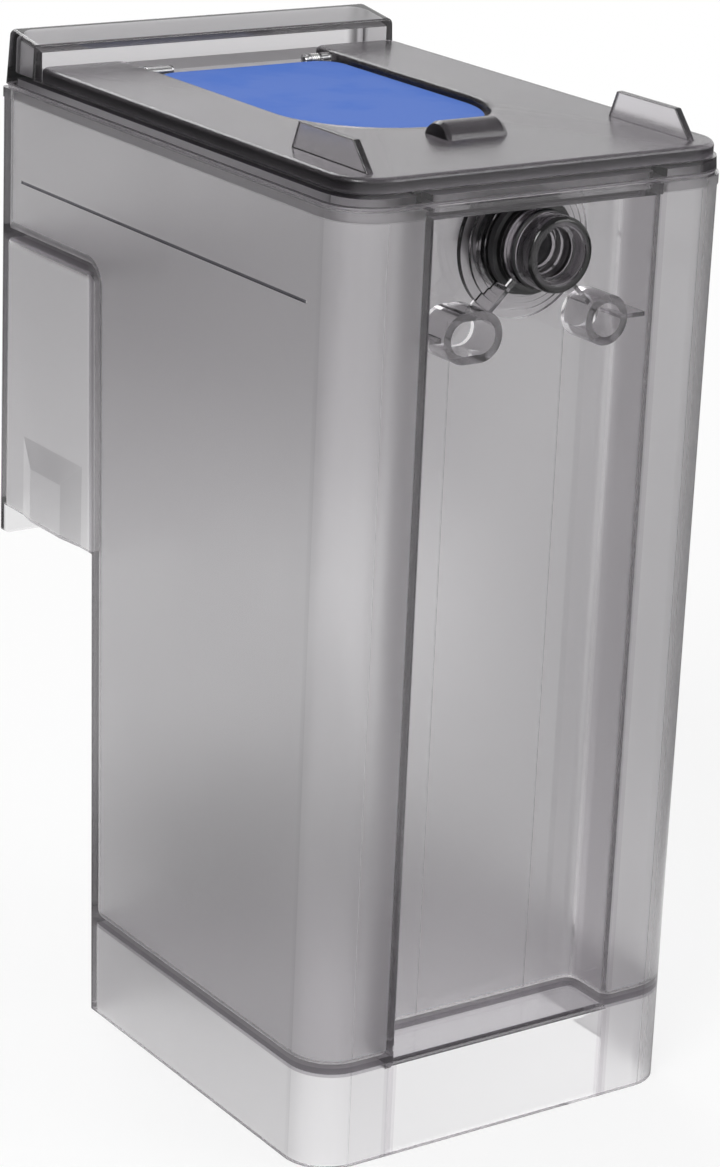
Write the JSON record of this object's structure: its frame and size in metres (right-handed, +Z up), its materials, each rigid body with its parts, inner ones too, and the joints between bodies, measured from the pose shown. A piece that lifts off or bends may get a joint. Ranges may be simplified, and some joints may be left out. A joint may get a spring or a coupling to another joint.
{
  "type": "canister water tank",
  "caption": "Smoke-clear canister tank with a rear overhang, a lift-off lid with a hinged blue filling flap and a sprung port in a front channel.",
  "frame": {"origin": "bottom centre of the outer box, on the face the skirt stands on", "axes": "+Z up, -Y out of the front face that carries the port, +X to the right when facing the front"},
  "size_m": [0.1234, 0.1816, 0.2752],
  "materials": {
    "tank_plastic": "lightly frosted clear with a smoke tint",
    "clear_plastic": "clear, moulded",
    "smoke_plastic": "smoke grey, satin top",
    "nozzle_plastic": "translucent grey",
    "dark_plastic": "dark smoke, polished",
    "black_plastic": "black, polished",
    "blue_plastic": "even satin blue",
    "black_rubber": "matt",
    "pale_rubber": "translucent silicone",
    "pin_steel": "bright drawn",
    "spring_steel": "bright drawn wire"
  },
  "bodies": {
    "tank": {"tank_body": "tank_plastic", "port_bracket": "clear_plastic", "port_seal": "black_rubber", "port_nozzle": "nozzle_plastic", "nozzle_sleeve": "black_plastic", "nozzle_o_ring": "black_rubber", "port_inner_washer": "pale_rubber", "port_lock_nut": "dark_plastic", "valve_retainer": "dark_plastic", "valve_spring": "spring_steel"},
    "lid": {"lid_base": "clear_plastic", "lid_top_plate": "smoke_plastic", "lid_gasket": "pale_rubber", "flap_gasket": "pale_rubber", "hinge_pin_left": "pin_steel", "hinge_pin_right": "pin_steel", "flap_spring": "spring_steel"},
    "flap": {"fill_flap": "clear_plastic", "flap_panel": "blue_plastic"},
    "valve": {"valve_poppet": "black_plastic", "poppet_washer": "black_rubber"}
  },
  "joints": [
    {"name": "lid_lift", "type": "slide", "parent": "tank", "child": "lid", "axis": [0, 0, 1], "range_m": [0, 0.04]},
    {"name": "flap_hinge", "type": "hinge", "parent": "lid", "child": "flap", "pos_m": [0, 0.06325, 0.2654], "axis": [-1, 0, 0], "range_deg": [0, 110], "stiffness_Nm_per_rad": 0.003},
    {"name": "valve_slide", "type": "slide", "parent": "tank", "child": "valve", "axis": [0, 1, 0], "range_m": [0, 0.004], "stiffness_N_per_m": 80, "springref_m": -0.006, "deforming": ["valve_spring"]}
  ]
}
